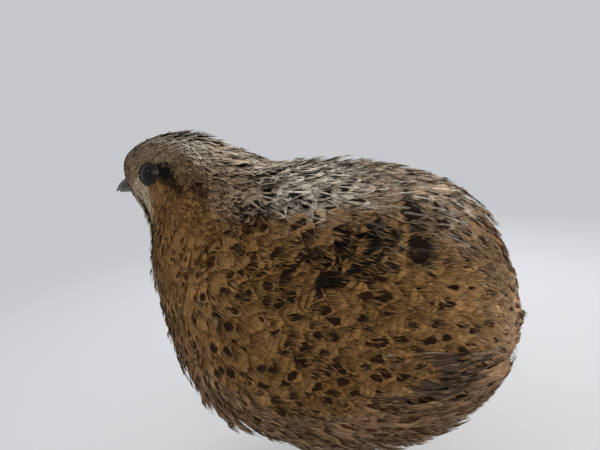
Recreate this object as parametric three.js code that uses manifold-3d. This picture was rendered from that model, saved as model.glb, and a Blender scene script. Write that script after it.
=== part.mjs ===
// A life-size coturnix quail hen standing at rest with her plumage fluffed, in millimetres.
// The bird faces -Y, its left side is +X and +Z is up. The floor is z = 0.
// f is the distance forward, s the distance to the bird's left and u the height.
import * as THREE from "three";
import { mergeVertices } from "three/addons/utils/BufferGeometryUtils.js";
import Module from "manifold-3d";

const wasm = await Module();
wasm.setup();

const GAP = 0.3; // clearance between neighbouring solids
const TURN = Math.PI / 180;

// Trunk, neck and head are one form, cut into three. Each station gives the dorsal and
// ventral points of the outline as [f, u], the half width and how far up the section,
// from 0 to 1, the widest place lies. The first is the rump and the last the bill's base.
const STATIONS = [
  { dorsal: [-62.0, 68], ventral: [-60.5, 58], half: 7, waist: 0.5 },
  { dorsal: [-61.0, 84], ventral: [-51.0, 42], half: 23, waist: 0.5 },
  { dorsal: [-55.0, 99], ventral: [-35.0, 31], half: 33, waist: 0.5 },
  { dorsal: [-43.5, 112], ventral: [-14.0, 26], half: 39, waist: 0.5 },
  { dorsal: [-27.5, 119.5], ventral: [10.5, 25], half: 42, waist: 0.5 },
  { dorsal: [-12.0, 121.5], ventral: [34.5, 33.5], half: 41.5, waist: 0.48 },
  { dorsal: [2.0, 121.5], ventral: [49.0, 51], half: 37.5, waist: 0.46 },
  { dorsal: [15.0, 122], ventral: [56.5, 70], half: 31, waist: 0.44 },
  { dorsal: [28.0, 127.5], ventral: [59.0, 86], half: 23.5, waist: 0.44 },
  { dorsal: [40.0, 133], ventral: [59.0, 96.5], half: 17, waist: 0.5 },
  { dorsal: [54.5, 133.6], ventral: [60.5, 105.5], half: 13.2, waist: 0.58 },
  { dorsal: [65.0, 128.9], ventral: [62.8, 110.8], half: 9.3, waist: 0.56 },
  { dorsal: [64.2, 121.9], ventral: [61.8, 113.8], half: 4.7, waist: 0.5 },
];
const SQUARENESS = 2.15; // superellipse exponent of the sections
const SECTION_SIDES = 28;
const RINGS_PER_STATION = 4;
const NECK_FROM = 0.6; // shares of the way from rump to bill base
const HEAD_FROM = 0.73;

const EYE = { t: 0.797, phi: 81.5, radius: 5.0, depth: 3.5, lid: 0.65 };

const WING = { core: 2.6, inset: 0.6, vane: 0.55, ridge: 0.35 };
const TAIL = { root: [-56, 87], slope: 73, length: 37 };
const LEG = { apart: 21, hock: [-17, 24.5], foot: -6, stagger: 3 };
// Rows down the shin to the hock: forward of the hock, share of the legs' spacing, above the
// hock, half width and half depth.
const SHIN = [
  [23, 0.86, 19.5, 13, 14],
  [14, 0.95, 10.5, 9, 10],
  [7, 1, 4, 5.2, 5.8],
  [0, 1, 0, 2.4, 2.6],
];
// Rows down the shank: share of the way from hock to foot, half width and half depth.
const SHANK = [
  [0, 2.4, 2.6],
  [0.25, 1.6, 1.9],
  [0.75, 1.5, 1.8],
  [1, 2.0, 1.9],
];
const HOCK_RADIUS = 2.5;
const PAD = { radius: 4.0, height: 2.5, sunk: 0.5 };
const TOE = { radius: 1.3, taper: 0.72, waist: 0.88, knuckle: 1.06, flat: 0.22, root: 2.4 };
const CLAW = { length: 4.0, tip: 0.17 };

// A place on the bird as a vector in the model's axes.
const at = (f, s, u) => new THREE.Vector3(s, -f, u);
const mix = THREE.MathUtils.lerp;

// A seeded draw between -1 and 1, so that every build is the same.
let seed = 7;
function draw() {
  seed = (seed * 16807) % 2147483647;
  return (2 * seed) / 2147483647 - 1;
}

function smoothCurve(points) {
  return new THREE.CatmullRomCurve3(points, false, "catmullrom", 0.5);
}

const dorsalCurve = smoothCurve(
  STATIONS.map((p) => new THREE.Vector3(...p.dorsal, p.half)),
);
const ventralCurve = smoothCurve(
  STATIONS.map((p) => new THREE.Vector3(...p.ventral, p.waist)),
);

const rounded = (x) => Math.sign(x) * Math.abs(x) ** (2 / SQUARENESS);

// A point of the body's surface: t runs from rump to bill base, phi in degrees from the
// dorsal line over the left side. ahead shifts the section along the body.
function bodyPoint(t, phi, ahead = 0) {
  const dorsal = dorsalCurve.getPoint(t);
  const ventral = ventralCurve.getPoint(t);
  const c = rounded(Math.cos(phi * TURN));
  const share = ventral.z + c * (c > 0 ? 1 - ventral.z : ventral.z);
  const across = dorsal.z * rounded(Math.sin(phi * TURN));
  const lean = Math.hypot(dorsal.x - ventral.x, dorsal.y - ventral.y);
  const f = mix(ventral.x, dorsal.x, share) + (ahead * (dorsal.y - ventral.y)) / lean;
  const u = mix(ventral.y, dorsal.y, share) - (ahead * (dorsal.x - ventral.x)) / lean;
  return at(f, across, u);
}

function bodyNormal(t, phi) {
  const step = 0.004;
  const along = bodyPoint(Math.min(t + step, 1), phi).sub(
    bodyPoint(Math.max(t - step, 0), phi),
  );
  const around = bodyPoint(t, phi + 1).sub(bodyPoint(t, phi - 1));
  return along.cross(around).normalize();
}

const raised = (t, phi, lift) =>
  bodyPoint(t, phi).addScaledVector(bodyNormal(t, phi), lift);

// A closed surface through rings of equal length, each end closed by a fan.
function closedRings(rings) {
  const size = rings[0].length;
  const positions = rings.flat().flatMap((p) => [p.x, p.y, p.z]);
  const index = [];
  for (let r = 0; r + 1 < rings.length; r++)
    for (let i = 0; i < size; i++) {
      const a = r * size + i;
      const b = r * size + ((i + 1) % size);
      index.push(a, a + size, b, b, a + size, b + size);
    }
  for (const [ring, first, outward] of [
    [rings[0], 0, false],
    [rings[rings.length - 1], (rings.length - 1) * size, true],
  ]) {
    const middle = ring
      .reduce((sum, p) => sum.add(p), new THREE.Vector3())
      .divideScalar(size);
    const centre = positions.length / 3;
    positions.push(middle.x, middle.y, middle.z);
    for (let i = 0; i < size; i++) {
      const a = first + i;
      const b = first + ((i + 1) % size);
      index.push(...(outward ? [centre, b, a] : [centre, a, b]));
    }
  }
  const geometry = new THREE.BufferGeometry();
  geometry.setAttribute("position", new THREE.Float32BufferAttribute(positions, 3));
  geometry.setIndex(index);
  return geometry;
}

// A closed geometry as a solid that booleans work on, with its faces turned outwards.
function solid(geometry) {
  const bare = geometry.clone();
  bare.deleteAttribute("normal");
  bare.deleteAttribute("uv");
  const merged = mergeVertices(bare, 1e-4);
  const build = (triVerts) =>
    new wasm.Manifold(
      new wasm.Mesh({
        numProp: 3,
        vertProperties: merged.attributes.position.array,
        triVerts,
      }),
    );
  const index = new Uint32Array(merged.index.array);
  const made = build(index);
  return made.volume() > 0 ? made : build(index.slice().reverse());
}

const union = (solids) => solids.reduce((sum, next) => sum.add(next));

// The largest closed piece of a solid, as a geometry.
function geometryOf(made) {
  const pieces = made.decompose().sort((a, b) => b.volume() - a.volume());
  const mesh = pieces[0].getMesh();
  const geometry = new THREE.BufferGeometry();
  geometry.setAttribute(
    "position",
    new THREE.Float32BufferAttribute(mesh.vertProperties, 3),
  );
  geometry.setIndex(Array.from(mesh.triVerts));
  return geometry;
}

// The same form on the bird's right side.
function mirrored(geometry) {
  const copy = geometry.clone().scale(-1, 1, 1);
  copy.setIndex(Array.from(copy.index.array).reverse());
  return copy;
}

// The length of body between two shares of the way from rump to bill, swollen by lift.
function bodyLength(from, to, { lift = 0, startGap = 0, endGap = 0 } = {}) {
  const steps = Math.ceil((to - from) * (STATIONS.length - 1) * RINGS_PER_STATION);
  const rings = [];
  for (let k = 0; k <= steps; k++) {
    const t = mix(from, to, k / steps);
    const ahead = k === 0 ? startGap : k === steps ? -endGap : 0;
    const ring = [];
    for (let i = 0; i < SECTION_SIDES; i++) {
      const phi = (360 * i) / SECTION_SIDES;
      const point = bodyPoint(t, phi, ahead);
      if (lift) point.addScaledVector(bodyNormal(t, phi), lift);
      ring.push(point);
    }
    rings.push(ring);
  }
  return closedRings(rings);
}

// One feather: a thin tapered vane along a path of places, each a point and the normal of
// what it lies on. bank lifts its lower edge over the next feather's upper edge.
function vane(path, half, { thick = WING.vane, ridge = WING.ridge, bank = 0 } = {}) {
  const last = path.length - 1;
  const rings = path.map(({ point, normal }, k) => {
    const l = k / last;
    const before = path[Math.max(k - 1, 0)].point;
    const after = path[Math.min(k + 1, last)].point;
    const along = after.clone().sub(before).normalize();
    const side = along.clone().cross(normal).normalize();
    const up = side.clone().cross(along).normalize();
    const width = half * Math.min(1, 0.6 + 1.3 * l) * Math.sqrt(1 - 0.97 * l ** 5);
    const tip = l === 1 ? 0.6 : 1;
    const place = (across, lift) =>
      point
        .clone()
        .addScaledVector(side, across * width)
        .addScaledVector(up, lift * tip + bank * across * (width / half));
    return [place(-1, 0), place(0, ridge), place(1, 0), place(1, -thick), place(-1, -thick)];
  });
  return solid(closedRings(rings));
}

// A path over the body's surface between two places [t, phi], rising from one lift to another.
function bodyPath([t0, phi0], [t1, phi1], lift0, lift1, steps) {
  return Array.from({ length: steps + 1 }, (_, k) => {
    const l = k / steps;
    const t = mix(t0, t1, l);
    const phi = mix(phi0, phi1, l);
    return { point: raised(t, phi, mix(lift0, lift1, l)), normal: bodyNormal(t, phi) };
  });
}

// Rows of the folded wing, from the lowest layer to the uppermost. Each row runs from its
// first feather to its last: places of root and tip as [t, phi], half widths, and the lift
// off the body at root and tip.
const WING_ROWS = {
  primaries: {
    count: 6,
    root: [[0.38, 90], [0.38, 104]],
    tip: [[0.16, 84], [0.075, 96]],
    half: [5.2, 4.6],
    lift: [1.6, 1.7],
    steps: 4,
  },
  secondaries: {
    count: 7,
    root: [[0.465, 60], [0.48, 104]],
    tip: [[0.19, 68], [0.28, 108]],
    half: [6.6, 6.0],
    lift: [2.2, 2.3],
    steps: 4,
  },
  tertials: {
    count: 4,
    root: [[0.44, 45], [0.455, 61]],
    tip: [[0.16, 50], [0.17, 70]],
    half: [7.0, 6.8],
    lift: [2.7, 3.1],
    steps: 4,
  },
  greaterCoverts: {
    count: 7,
    root: [[0.5, 50], [0.515, 103]],
    tip: [[0.33, 52], [0.385, 108]],
    half: [6.4, 5.8],
    lift: [2.9, 3.5],
    steps: 3,
  },
  medianCoverts: {
    count: 7,
    root: [[0.535, 52], [0.545, 100]],
    tip: [[0.415, 52], [0.45, 106]],
    half: [6.0, 5.6],
    lift: [3.0, 4.1],
    steps: 3,
  },
};

// The pad of flesh and small coverts under the wing's feathers. It reaches from one share
// of the body's length to another and thins to its edges.
function wingCore(from, to) {
  const middle = 78;
  const rings = [];
  const steps = 9;
  const across = 6;
  for (let k = 0; k <= steps; k++) {
    const a = k / steps;
    const t = mix(from, to, a);
    const full = Math.sqrt(Math.max(0.05, 1 - (2 * a - 1) ** 4));
    const top = mix(middle, 46, full);
    const low = mix(middle + 16 * a, 106 - 6 * a, full);
    const outer = [];
    const inner = [];
    for (let i = 0; i <= across; i++) {
      const b = i / across;
      const phi = mix(top, low, b);
      const crown = full * Math.sqrt(Math.max(0, 1 - (2 * b - 1) ** 4));
      outer.push(raised(t, phi, WING.inset + 0.5 + WING.core * crown * (1 - 0.5 * a)));
      inner.unshift(raised(t, phi, WING.inset));
    }
    rings.push([...outer, ...inner]);
  }
  return solid(closedRings(rings));
}

function wingFeathers({ count, root, tip, half, lift, steps }) {
  return Array.from({ length: count }, (_, i) => {
    const share = i / (count - 1);
    const place = ([first, end]) => [
      mix(first[0], end[0], share) + 0.004 * draw(),
      mix(first[1], end[1], share) + 0.6 * draw(),
    ];
    const path = bodyPath(place(root), place(tip), ...lift, steps);
    return vane(path, mix(...half, share), { bank: 0.45 });
  });
}

function wingSolid(trunk) {
  const feathers = Object.values(WING_ROWS).flatMap(wingFeathers);
  return union([wingCore(0.57, 0.17), ...feathers]).subtract(trunk);
}

// A place on the tail: the distance along it from its root, across it and out from its
// upper face.
const tailAlong = at(-Math.cos(TAIL.slope * TURN), 0, -Math.sin(TAIL.slope * TURN));
const tailOut = at(-Math.sin(TAIL.slope * TURN), 0, Math.cos(TAIL.slope * TURN));

function tailPlace(along, across, out) {
  return at(TAIL.root[0], across, TAIL.root[1])
    .addScaledVector(tailAlong, along)
    .addScaledVector(tailOut, out);
}

// The soft wedge of flesh and under-tail coverts that the tail feathers lie on.
function tailWedge(reach) {
  const sides = 12;
  const rings = [-0.3, -0.1, 0.15, 0.4, 0.65, 0.86].map((l) => {
    const half = mix(12.5, 8.5, Math.max(l, 0));
    const deep = l < 0 ? 3 : mix(15, 1.4, l ** 0.7);
    return Array.from({ length: sides }, (_, i) => {
      const angle = (i * 2 * Math.PI) / sides;
      const out = Math.sin(angle) < 0 ? deep * Math.sin(angle) : Math.sin(angle);
      return tailPlace(l * reach, half * Math.cos(angle), out - 1.2);
    });
  });
  return solid(closedRings(rings));
}

// A tier of tail feathers or coverts laid side by side like the slates of a narrow roof.
function tailTier({ count, from, length, spread, half, out }) {
  const steps = 3;
  return Array.from({ length: count }, (_, i) => {
    const side = (2 * i) / (count - 1) - 1;
    const reach = length * (1 - 0.16 * side * side) + 0.8 * draw();
    const normal = tailOut.clone().add(at(0, 0.75 * side, 0)).normalize();
    const path = Array.from({ length: steps + 1 }, (_, k) => {
      const l = k / steps;
      const across = side * mix(spread * 0.45, spread, l);
      const fall = 3.4 * side * side * (0.5 + l) + 0.25 * Math.abs(side);
      return { point: tailPlace(from + l * reach, across, out - fall), normal };
    });
    return vane(path, half, { bank: 0.3 * Math.sign(side) });
  });
}

const TAIL_TIERS = {
  tailFeathers: { count: 10, from: 2, length: TAIL.length - 2, spread: 12.5, half: 4.0, out: 0.6 },
  longCoverts: { count: 6, from: -4, length: 31, spread: 12.5, half: 5.6, out: 1.9 },
  shortCoverts: { count: 5, from: -9, length: 24, spread: 12, half: 6.2, out: 3.0 },
};

function tailSolid(trunk) {
  const feathers = Object.values(TAIL_TIERS).flatMap(tailTier);
  return union([tailWedge(TAIL.length), ...feathers]).subtract(trunk);
}

// A round bar of changing thickness through points, with flat ends. radii may be pairs of
// half width and half height.
function bar(points, radii, sides = 10, steps = 4) {
  const curve = smoothCurve(points);
  const size = smoothCurve(
    radii.map((r) => new THREE.Vector3(...(Array.isArray(r) ? r : [r, r]), 0)),
  );
  const count = (points.length - 1) * steps;
  const rings = [];
  for (let k = 0; k <= count; k++) {
    const t = k / count;
    const along = curve.getTangent(t);
    const side = along.clone().cross(new THREE.Vector3(0, 0, 1));
    if (side.lengthSq() < 1e-6) side.set(1, 0, 0);
    side.normalize();
    const up = side.clone().cross(along).normalize();
    const radius = size.getPoint(t);
    const centre = curve.getPoint(t);
    rings.push(
      Array.from({ length: sides }, (_, i) => {
        const angle = (i * 2 * Math.PI) / sides;
        return centre
          .clone()
          .addScaledVector(side, radius.x * Math.cos(angle))
          .addScaledVector(up, radius.y * Math.sin(angle));
      }),
    );
  }
  return solid(closedRings(rings));
}

// Everything below the floor, to cut the soles flat.
const belowFloor = solid(new THREE.BoxGeometry(400, 400, 20).translate(0, 0, -10));

// Toes by their turn from straight ahead, towards the bird's midline being positive.
const TOES = [
  { name: "1", turn: 172, length: 9.5, joints: 1, lift: 0.5 },
  { name: "2", turn: 39, length: 17, joints: 2, lift: 0 },
  { name: "3", turn: 2, length: 22.5, joints: 3, lift: 0 },
  { name: "4", turn: -37, length: 18, joints: 4, lift: 0 },
];

// A ball, or one squashed to a given height, as a solid.
function ball(centre, radius, height = radius) {
  return solid(
    new THREE.SphereGeometry(1, 12, 6)
      .rotateX(Math.PI / 2)
      .scale(radius, radius, height)
      .translate(centre.x, centre.y, centre.z),
  );
}

function shinSolid(side, grow) {
  const rows = SHIN.map(([ahead, spacing, above, width, depth]) => ({
    place: at(
      LEG.hock[0] + side * LEG.stagger + ahead,
      side * LEG.apart * spacing,
      LEG.hock[1] + above,
    ),
    size: [width + grow, depth + grow],
  }));
  const hock = rows[rows.length - 1].place;
  const shin = bar(rows.map((r) => r.place), rows.map((r) => r.size), 12, 3);
  return shin.add(ball(hock, HOCK_RADIUS + grow));
}

function shankSolid(side) {
  const hock = at(LEG.hock[0] + side * LEG.stagger, side * LEG.apart, LEG.hock[1]);
  const foot = at(LEG.foot + side * LEG.stagger, side * LEG.apart, PAD.height + 1.2);
  return bar(
    SHANK.map(([share]) => hock.clone().lerp(foot, share)),
    SHANK.map(([, width, depth]) => [width, depth]),
    10,
    3,
  ).subtract(shinSolid(side, GAP));
}

// A toe swells at each joint. Its knuckles rest on the floor, and a claw follows it.
function toeSolids(side, footF, toe) {
  const turn = toe.turn * TURN * side;
  const ahead = at(Math.cos(turn), -Math.sin(turn), 0);
  const along = (distance, height) =>
    at(footF, side * LEG.apart, height).addScaledVector(ahead, distance);
  const steps = toe.joints * 2;
  const points = [];
  const radii = [];
  for (let k = 0; k <= steps; k++) {
    const l = k / steps;
    const swell = k % 2 ? TOE.waist : TOE.knuckle;
    const radius = TOE.radius * mix(1, TOE.taper, l) * swell;
    const rise = (k === 0 ? 0.9 : 0) + toe.lift * 4 * l * (1 - l);
    points.push(along(mix(TOE.root, toe.length, l), radius - TOE.flat + rise));
    radii.push(radius);
  }
  const end = radii[radii.length - 1];
  const start = toe.length + GAP;
  const claw = bar(
    [
      along(start, end - 0.1),
      along(start + CLAW.length * 0.55, end + 0.1),
      along(start + CLAW.length, end - 0.62),
    ],
    [[end * 0.72, end * 0.8], [0.6, 0.62], [CLAW.tip, CLAW.tip]],
    6,
    2,
  );
  return { toe: bar(points, radii, 7, 1), claw };
}

function legSolids(side, trunk) {
  const footF = LEG.foot + side * LEG.stagger;
  const sole = at(footF, side * LEG.apart, PAD.height - PAD.sunk);
  const pad = ball(sole, PAD.radius, PAD.height);
  const padClear = ball(sole, PAD.radius + GAP, PAD.height + GAP);
  const made = {
    thigh: shinSolid(side, 0).subtract(trunk),
    tarsus: union([shankSolid(side), pad]).subtract(belowFloor),
  };
  for (const toe of TOES) {
    const solids = toeSolids(side, footF, toe);
    made["toe" + toe.name] = solids.toe.subtract(padClear).subtract(belowFloor);
    made["claw" + toe.name] = solids.claw.subtract(belowFloor);
  }
  return made;
}

// The bill's base is a flat face that leans: its top stands further forward than its foot.
// Each half's rows give f, the heights of its under and upper edge, and the half width. The
// lean of the base fades out towards the tip.
const BASE = STATIONS[STATIONS.length - 1];
const BILL_BASE = BASE.dorsal[0] + GAP;
const BILL_LEAN = (BASE.dorsal[0] - BASE.ventral[0]) / (BASE.dorsal[1] - BASE.ventral[1]);
const UPPER_BILL = [
  [BILL_BASE, 117.7, 121.7, 3.3],
  [66.8, 117.7, 121.3, 3.0],
  [69.7, 117.3, 120.0, 2.3],
  [72.2, 116.5, 118.3, 1.4],
  [73.7, 115.5, 116.2, 0.5],
];
const LOWER_BILL = [
  [BILL_BASE, 114.7, 117.1, 3.0],
  [67.0, 114.8, 117.0, 2.5],
  [69.9, 115.0, 116.5, 1.6],
  [72.1, 115.0, 115.6, 0.7],
];
const NOSTRIL = { f: 65.7, s: 3.0, u: 119.9, size: [1.5, 0.9, 0.5], slope: 22 };

// upper is true for the upper half, which is arched above and flat below.
function billHalf(rows, upper) {
  const low = smoothCurve(rows.map((r) => new THREE.Vector3(r[0], r[1], r[3])));
  const high = smoothCurve(rows.map((r) => new THREE.Vector3(r[0], r[2], r[3])));
  const steps = (rows.length - 1) * 2;
  const sides = 14;
  const rings = [];
  for (let k = 0; k <= steps; k++) {
    const under = low.getPoint(k / steps);
    const over = high.getPoint(k / steps);
    const tall = over.y - under.y;
    const lean = BILL_LEAN * (1 - k / steps);
    const ring = Array.from({ length: sides }, (_, i) => {
      const angle = (i * 2 * Math.PI) / sides;
      const lift = Math.sin(angle);
      const arched = upper ? lift > 0 : lift < 0;
      const u = (upper ? under.y : over.y) + tall * lift * (arched ? 1 : 0.05);
      const width = arched ? Math.cos(angle) : Math.sign(Math.cos(angle));
      return at(under.x + lean * (u - BASE.dorsal[1]), under.z * width, u);
    });
    rings.push(ring);
  }
  return solid(closedRings(rings));
}

function upperBill() {
  const pit = (side) =>
    solid(
      new THREE.SphereGeometry(1, 10, 6)
        .scale(NOSTRIL.size[1], NOSTRIL.size[0], NOSTRIL.size[2])
        .rotateX(NOSTRIL.slope * TURN)
        .translate(side * NOSTRIL.s, -NOSTRIL.f, NOSTRIL.u),
    );
  return billHalf(UPPER_BILL, true).subtract(pit(1)).subtract(pit(-1));
}

const eyeAxis = bodyNormal(EYE.t, EYE.phi);
const eyeCentre = bodyPoint(EYE.t, EYE.phi).addScaledVector(eyeAxis, -EYE.depth);

function eyeBall(side, radius, around, rows) {
  return new THREE.SphereGeometry(radius, around, rows)
    .rotateX(Math.PI / 2)
    .translate(side * eyeCentre.x, eyeCentre.y, eyeCentre.z);
}

// The rim of the lids round one eye, a little wider than tall.
function lids(side) {
  const reach = Math.sqrt(EYE.radius ** 2 - EYE.depth ** 2) + 0.55;
  const facing = new THREE.Quaternion().setFromUnitVectors(new THREE.Vector3(0, 0, 1), eyeAxis);
  const rim = new THREE.TorusGeometry(reach, EYE.lid, 6, 18).applyQuaternion(facing);
  const middle = eyeCentre.clone().addScaledVector(eyeAxis, EYE.depth + 0.1);
  rim.translate(middle.x, middle.y, middle.z);
  return solid(side > 0 ? rim : mirrored(rim));
}

function headSolid() {
  const skull = solid(bodyLength(HEAD_FROM, 1, { startGap: GAP / 2 }));
  const sockets = [1, -1].map((side) => solid(eyeBall(side, EYE.radius + GAP, 14, 8)));
  return union([skull, lids(1), lids(-1)]).subtract(sockets[0]).subtract(sockets[1]);
}

const COLOURS = {
  plumage: { color: 0xa98f63, roughness: 0.9 },
  wing: { color: 0x8f7447, roughness: 0.85 },
  tail: { color: 0x7d6543, roughness: 0.85 },
  bill: { color: 0x6f6a5c, roughness: 0.45 },
  eye: { color: 0x120d0a, roughness: 0.08 },
  leg: { color: 0xc9a184, roughness: 0.6 },
  claw: { color: 0x8c7a68, roughness: 0.4 },
};
const materials = Object.fromEntries(
  Object.entries(COLOURS).map(([name, look]) => [
    name,
    new THREE.MeshStandardMaterial({ ...look, metalness: 0 }),
  ]),
);

const quail = new THREE.Group();

function add(name, geometry, material) {
  geometry.computeVertexNormals();
  const mesh = new THREE.Mesh(geometry, materials[material]);
  mesh.name = name;
  quail.add(mesh);
}

const trunkClear = solid(bodyLength(0, NECK_FROM, { lift: GAP }));

add("torso", bodyLength(0, NECK_FROM, { endGap: GAP / 2 }), "plumage");
add("neck", bodyLength(NECK_FROM, HEAD_FROM, { startGap: GAP / 2, endGap: GAP / 2 }), "plumage");
add("head", geometryOf(headSolid()), "plumage");
add("bill_upper", geometryOf(upperBill()), "bill");
add("bill_lower", geometryOf(billHalf(LOWER_BILL, false)), "bill");
add("eye_left", eyeBall(1, EYE.radius, 14, 8), "eye");
add("eye_right", eyeBall(-1, EYE.radius, 14, 8), "eye");

const wing = geometryOf(wingSolid(trunkClear));
add("wing_left", wing, "wing");
add("wing_right", mirrored(wing), "wing");
add("tail", geometryOf(tailSolid(trunkClear)), "tail");

for (const [label, side] of [["left", 1], ["right", -1]]) {
  const leg = legSolids(side, trunkClear);
  add("thigh_" + label, geometryOf(leg.thigh), "plumage");
  add("tarsus_" + label, geometryOf(leg.tarsus), "leg");
  for (const { name } of TOES) {
    add("toe_" + label + "_" + name, geometryOf(leg["toe" + name]), "leg");
    add("claw_" + label + "_" + name, geometryOf(leg["claw" + name]), "claw");
  }
}

// The origin is the middle of the bird's box, on the floor.
const box = new THREE.Box3().setFromObject(quail);
quail.position.set(-(box.min.x + box.max.x) / 2, -(box.min.y + box.max.y) / 2, -box.min.z);

export default quail;
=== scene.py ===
# A coturnix quail hen, life size, standing still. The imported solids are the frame: her skin,
# feathers, eyes, bill and feet are built round them here, in the same place and size.
# Lengths are millimetres until a mesh is made. f runs forward, s to her left and u up.
import math

import bpy
import numpy as np
from mathutils import Matrix, Vector, kdtree


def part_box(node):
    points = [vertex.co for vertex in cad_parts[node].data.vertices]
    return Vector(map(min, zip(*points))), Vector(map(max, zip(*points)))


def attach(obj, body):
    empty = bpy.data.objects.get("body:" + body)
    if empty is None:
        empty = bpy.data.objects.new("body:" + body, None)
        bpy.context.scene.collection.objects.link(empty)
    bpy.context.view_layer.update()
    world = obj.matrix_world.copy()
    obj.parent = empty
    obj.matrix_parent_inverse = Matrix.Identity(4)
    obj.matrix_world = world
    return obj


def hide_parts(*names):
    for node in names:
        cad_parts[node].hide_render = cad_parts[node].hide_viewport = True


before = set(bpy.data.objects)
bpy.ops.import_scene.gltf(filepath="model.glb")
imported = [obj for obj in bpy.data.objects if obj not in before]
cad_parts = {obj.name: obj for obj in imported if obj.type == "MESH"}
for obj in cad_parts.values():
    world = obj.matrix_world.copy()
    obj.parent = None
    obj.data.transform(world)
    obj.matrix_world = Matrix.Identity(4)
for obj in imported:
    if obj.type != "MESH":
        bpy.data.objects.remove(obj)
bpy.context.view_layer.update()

MM = 0.001
SEED = 11
SIDES = ((1, "left"), (-1, "right"))

# The body from rump to bill base as a row of sections: the dorsal line's f and u, the ventral
# line's f and u, half the width, and the height of the widest place as a share.
BODY = [
    (-62.0, 68, -60.5, 58, 7, 0.5),
    (-61.0, 84, -51.0, 42, 23, 0.5),
    (-55.0, 99, -35.0, 31, 33, 0.5),
    (-43.5, 112, -14.0, 26, 39, 0.5),
    (-27.5, 119.5, 10.5, 25, 42, 0.5),
    (-12.0, 121.5, 34.5, 33.5, 41.5, 0.48),
    (2.0, 121.5, 49.0, 51, 37.5, 0.46),
    (15.0, 122, 56.5, 70, 31, 0.44),
    (28.0, 127.5, 59.0, 86, 23.5, 0.44),
    (40.0, 133, 59.0, 96.5, 17, 0.5),
    (54.5, 133.6, 60.5, 105.5, 13.2, 0.58),
    (65.0, 128.9, 62.8, 110.8, 9.3, 0.56),
    (64.2, 121.9, 61.8, 113.8, 4.7, 0.5),
]
# The power of a section's curve: 2 is an ellipse, more is squarer.
SQUARENESS = 2.15

# The folded wing: t of its front and its tip, phi of its axis, and how far it stands out.
WING = {"front": 0.57, "tip": 0.17, "axis": 78, "height": 3.0}
EYE = {"t": 0.797, "phi": 81.5, "radius": 5.0, "depth": 3.5}
TAIL = {"root": (-53.5, 87.0), "slope": 73.0}
HOCK = (-17.0, 24.5)
FOOT = -6.0
STAGGER = 3.0
APART = 21.0

# The view of the photograph, fitted to the body's outline: degrees, a lens for a sensor
# 36 mm wide, and the camera's place as f, s and u.
CAMERA = {"azimuth": 101.2, "elevation": 11.8, "roll": -5.4, "lens": 28.8}
CAMERA_PLACE = (-24.6, 159.7, 133.2)

# Surfaces


def smooth_rows(rows, t):
    """A curve through evenly spaced rows, taken at shares t of its length, straight past its ends."""
    rows = np.asarray(rows, float)
    padded = np.vstack([2 * rows[0] - rows[1], rows, 2 * rows[-1] - rows[-2]])
    count = len(rows) - 1
    t = np.asarray(t, float)
    inside = np.clip(t, 0, 1) * count
    index = np.minimum(inside.astype(int), count - 1)
    w = (inside - index)[..., None]
    a, b, c, d = (padded[index + k] for k in range(4))
    leave, arrive = (c - a) / 2, (d - b) / 2
    value = (2 * b - 2 * c + leave + arrive) * w**3
    value += (3 * c - 3 * b - 2 * leave - arrive) * w**2 + leave * w + b
    slope = np.where(t[..., None] > 0.5, padded[-1] - padded[-3], padded[2] - padded[0]) / 2 * count
    return value + (t - np.clip(t, 0, 1))[..., None] * slope


def rounded(x):
    return np.sign(x) * np.abs(x) ** (2 / SQUARENESS)


def length_of(v):
    return np.linalg.norm(v, axis=-1)


def unit(v):
    return v / np.maximum(length_of(v), 1e-9)[..., None]


def bell(x, y):
    return np.exp(-(x**2) - y**2)


def circle(count):
    return np.linspace(0, 2 * math.pi, count, endpoint=False)


def smoothstep(x, low, high):
    w = np.clip((x - low) / (high - low), 0, 1)
    return w * w * (3 - 2 * w)


class Loft:
    """A closed skin over sections: t runs along it, phi in degrees from the top over the left."""

    def __init__(self, rows, lift=None):
        self.rows = [tuple(row) + (0.0,) * (7 - len(row)) for row in rows]
        self.lift = lift

    def point(self, t, phi):
        t, phi = np.broadcast_arrays(np.asarray(t, float), np.asarray(phi, float))
        row = smooth_rows(self.rows, t)
        top_f, top_u, low_f, low_u, half, waist, side = np.moveaxis(row, -1, 0)
        height = rounded(np.cos(np.radians(phi)))
        share = waist + height * np.where(height > 0, 1 - waist, waist)
        s = side + half * rounded(np.sin(np.radians(phi)))
        f = low_f + (top_f - low_f) * share
        u = low_u + (top_u - low_u) * share
        return np.stack([s, SHIFT - f, u], -1)

    def frame(self, t, phi):
        """Point, unit ways towards the tail and of growing phi, outward normal, and length by t and phi."""
        dt, dphi = 0.002, 0.7
        back = self.point(t - dt, phi) - self.point(t + dt, phi)
        turn = self.point(t, phi + dphi) - self.point(t, phi - dphi)
        along, across = unit(back), unit(turn)
        normal = unit(np.cross(across, along))
        point = self.point(t, phi)
        if self.lift is not None:
            point = point + normal * self.lift(t, phi)[..., None]
        return point, along, across, normal, (length_of(back) / (2 * dt), length_of(turn) / (2 * dphi))


# The frame's own box says how far the group was moved to centre it.
SHIFT = 0.0
whole_body = Loft(BODY).point(*np.meshgrid(np.linspace(0, 0.6, 200), np.arange(360)))
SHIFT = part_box("torso")[1].y / MM - whole_body[..., 1].max()
body = Loft(BODY)


def dome(x):
    """From 0 at x = 0 up to a flat 1, and down again to 0 at x = 1."""
    return np.maximum(0, 1 - (2 * x - 1) ** 4) ** 0.5


def wing_lift(t, phi):
    """How far a folded wing raises the coat above the body."""
    a = np.clip((WING["front"] - t) / (WING["front"] - WING["tip"]), 0, 1)
    full = dome(a)
    top = WING["axis"] - 32 * full
    low = WING["axis"] + 16 * a + (28 - 22 * a) * full
    b = np.clip((np.abs(phi) - top) / np.maximum(low - top, 1), 0, 1)
    crown = full * dome(b)
    return WING["height"] * crown * (1 - 0.5 * a)


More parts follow.
